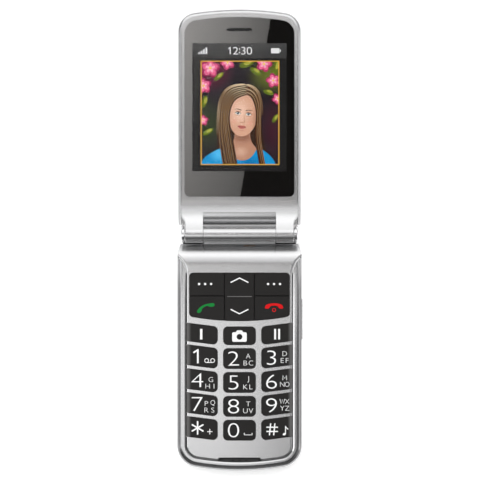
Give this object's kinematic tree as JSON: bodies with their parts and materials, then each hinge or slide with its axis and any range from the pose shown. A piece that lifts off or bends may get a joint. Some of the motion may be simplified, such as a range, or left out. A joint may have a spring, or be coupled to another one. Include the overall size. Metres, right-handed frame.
{
  "type": "clamshell mobile phone",
  "caption": "Flip phone with large keys, opened flat: hinged lid with display, sprung keypad in the base, sliding battery cover and side rocker.",
  "frame": {"origin": "middle of the open phone's length, on the plane of the base's back", "axes": "+X to the right of the keypad, +Y from the chin towards the tip of the open lid, +Z out of the keys and display"},
  "size_m": [0.0564, 0.208, 0.0146],
  "materials": {
    "silver_shell": "satin silver paint on moulded plastic",
    "polished_cap": "bright plated plastic",
    "key_black": "black keys with white printed legends",
    "window_glass": "clear window, printed black behind its border",
    "display_glass": "colour display",
    "key_rubber": "black silicone",
    "board_green": "green circuit board",
    "steel": "plain steel",
    "battery_can": "aluminium can in a dark bare wrap",
    "contact_brass": "plated springs",
    "capsule_black": "black moulded capsule",
    "ribbon_amber": "amber film"
  },
  "bodies": {
    "base": {"base_front_cover": "silver_shell", "base_trim": "silver_shell", "base_rear_cover": "silver_shell", "keypad_mat": "key_rubber", "dome_sheet": "steel", "main_board": "board_green", "shield_can": "steel", "battery": "battery_can", "battery_contacts": "contact_brass", "sim_socket": "steel", "usb_socket": "steel", "microphone": "capsule_black", "microphone_grille": "key_rubber", "loudspeaker": "capsule_black", "vibration_motor": "steel", "antenna": "contact_brass", "base_screws": "steel", "hinge_cartridge": "steel", "ribbon_base": "ribbon_amber"},
    "lid": {"lid_front_frame": "silver_shell", "lid_rear_cover": "silver_shell", "display_window": "window_glass", "display_panel": "display_glass", "lid_board": "board_green", "earpiece": "capsule_black", "camera_module": "capsule_black", "camera_window": "window_glass", "camera_ring": "polished_cap", "hinge_shaft": "steel", "hinge_sleeve": "steel", "hinge_caps": "polished_cap", "ribbon_lid": "ribbon_amber", "lid_screws": "steel", "lid_magnet": "steel"},
    "battery_cover": {"battery_cover": "silver_shell"},
    "vibrator_weight": {"vibrator_weight": "steel"},
    "volume_rocker": {"volume_rocker": "silver_shell"},
    "nav_rocker": {"nav_rocker": "key_black"},
    "soft_key_left": {"soft_key_left": "key_black"},
    "soft_key_right": {"soft_key_right": "key_black"},
    "call_key": {"call_key": "key_black"},
    "end_key": {"end_key": "key_black"},
    "memory_key_1": {"memory_key_1": "key_black"},
    "camera_key": {"camera_key": "key_black"},
    "memory_key_2": {"memory_key_2": "key_black"},
    "key_1": {"key_1": "key_black"},
    "key_2": {"key_2": "key_black"},
    "key_3": {"key_3": "key_black"},
    "key_4": {"key_4": "key_black"},
    "key_5": {"key_5": "key_black"},
    "key_6": {"key_6": "key_black"},
    "key_7": {"key_7": "key_black"},
    "key_8": {"key_8": "key_black"},
    "key_9": {"key_9": "key_black"},
    "key_star": {"key_star": "key_black"},
    "key_0": {"key_0": "key_black"},
    "key_hash": {"key_hash": "key_black"}
  },
  "joints": [
    {"name": "lid_hinge", "type": "hinge", "parent": "base", "child": "lid", "pos_m": [0, 0.0026, 0.0107], "axis": [1, 0, 0], "range_deg": [0, 180]},
    {"name": "battery_cover_slide", "type": "slide", "parent": "base", "child": "battery_cover", "axis": [0, -1, 0], "range_m": [0, 0.082]},
    {"name": "vibrator_spin", "type": "hinge", "parent": "base", "child": "vibrator_weight", "pos_m": [0.0205, -0.082, 0.00405], "axis": [0, 1, 0], "continuous": true},
    {"name": "volume_rock", "type": "hinge", "parent": "base", "child": "volume_rocker", "pos_m": [0.0264, -0.0356, 0.0069], "axis": [0, 0, 1], "range_deg": [-1.5, 1.5], "stiffness_Nm_per_rad": 0.2},
    {"name": "nav_rock", "type": "hinge", "parent": "base", "child": "nav_rocker", "pos_m": [0, -0.0252, 0.00875], "axis": [1, 0, 0], "range_deg": [-1.8, 1.8], "stiffness_Nm_per_rad": 0.2},
    {"name": "soft_key_left_press", "type": "slide", "parent": "base", "child": "soft_key_left", "axis": [0, 0, -1], "range_m": [0, 0.0003], "stiffness_N_per_m": 400, "springref_m": -0.0005},
    {"name": "soft_key_right_press", "type": "slide", "parent": "base", "child": "soft_key_right", "axis": [0, 0, -1], "range_m": [0, 0.0003], "stiffness_N_per_m": 400, "springref_m": -0.0005},
    {"name": "call_key_press", "type": "slide", "parent": "base", "child": "call_key", "axis": [0, 0, -1], "range_m": [0, 0.0003], "stiffness_N_per_m": 400, "springref_m": -0.0005},
    {"name": "end_key_press", "type": "slide", "parent": "base", "child": "end_key", "axis": [0, 0, -1], "range_m": [0, 0.0003], "stiffness_N_per_m": 400, "springref_m": -0.0005},
    {"name": "memory_key_1_press", "type": "slide", "parent": "base", "child": "memory_key_1", "axis": [0, 0, -1], "range_m": [0, 0.0003], "stiffness_N_per_m": 400, "springref_m": -0.0005},
    {"name": "camera_key_press", "type": "slide", "parent": "base", "child": "camera_key", "axis": [0, 0, -1], "range_m": [0, 0.0003], "stiffness_N_per_m": 400, "springref_m": -0.0005},
    {"name": "memory_key_2_press", "type": "slide", "parent": "base", "child": "memory_key_2", "axis": [0, 0, -1], "range_m": [0, 0.0003], "stiffness_N_per_m": 400, "springref_m": -0.0005},
    {"name": "key_1_press", "type": "slide", "parent": "base", "child": "key_1", "axis": [0, 0, -1], "range_m": [0, 0.0003], "stiffness_N_per_m": 400, "springref_m": -0.0005},
    {"name": "key_2_press", "type": "slide", "parent": "base", "child": "key_2", "axis": [0, 0, -1], "range_m": [0, 0.0003], "stiffness_N_per_m": 400, "springref_m": -0.0005},
    {"name": "key_3_press", "type": "slide", "parent": "base", "child": "key_3", "axis": [0, 0, -1], "range_m": [0, 0.0003], "stiffness_N_per_m": 400, "springref_m": -0.0005},
    {"name": "key_4_press", "type": "slide", "parent": "base", "child": "key_4", "axis": [0, 0, -1], "range_m": [0, 0.0003], "stiffness_N_per_m": 400, "springref_m": -0.0005},
    {"name": "key_5_press", "type": "slide", "parent": "base", "child": "key_5", "axis": [0, 0, -1], "range_m": [0, 0.0003], "stiffness_N_per_m": 400, "springref_m": -0.0005},
    {"name": "key_6_press", "type": "slide", "parent": "base", "child": "key_6", "axis": [0, 0, -1], "range_m": [0, 0.0003], "stiffness_N_per_m": 400, "springref_m": -0.0005},
    {"name": "key_7_press", "type": "slide", "parent": "base", "child": "key_7", "axis": [0, 0, -1], "range_m": [0, 0.0003], "stiffness_N_per_m": 400, "springref_m": -0.0005},
    {"name": "key_8_press", "type": "slide", "parent": "base", "child": "key_8", "axis": [0, 0, -1], "range_m": [0, 0.0003], "stiffness_N_per_m": 400, "springref_m": -0.0005},
    {"name": "key_9_press", "type": "slide", "parent": "base", "child": "key_9", "axis": [0, 0, -1], "range_m": [0, 0.0003], "stiffness_N_per_m": 400, "springref_m": -0.0005},
    {"name": "key_star_press", "type": "slide", "parent": "base", "child": "key_star", "axis": [0, 0, -1], "range_m": [0, 0.0003], "stiffness_N_per_m": 400, "springref_m": -0.0005},
    {"name": "key_0_press", "type": "slide", "parent": "base", "child": "key_0", "axis": [0, 0, -1], "range_m": [0, 0.0003], "stiffness_N_per_m": 400, "springref_m": -0.0005},
    {"name": "key_hash_press", "type": "slide", "parent": "base", "child": "key_hash", "axis": [0, 0, -1], "range_m": [0, 0.0003], "stiffness_N_per_m": 400, "springref_m": -0.0005}
  ]
}
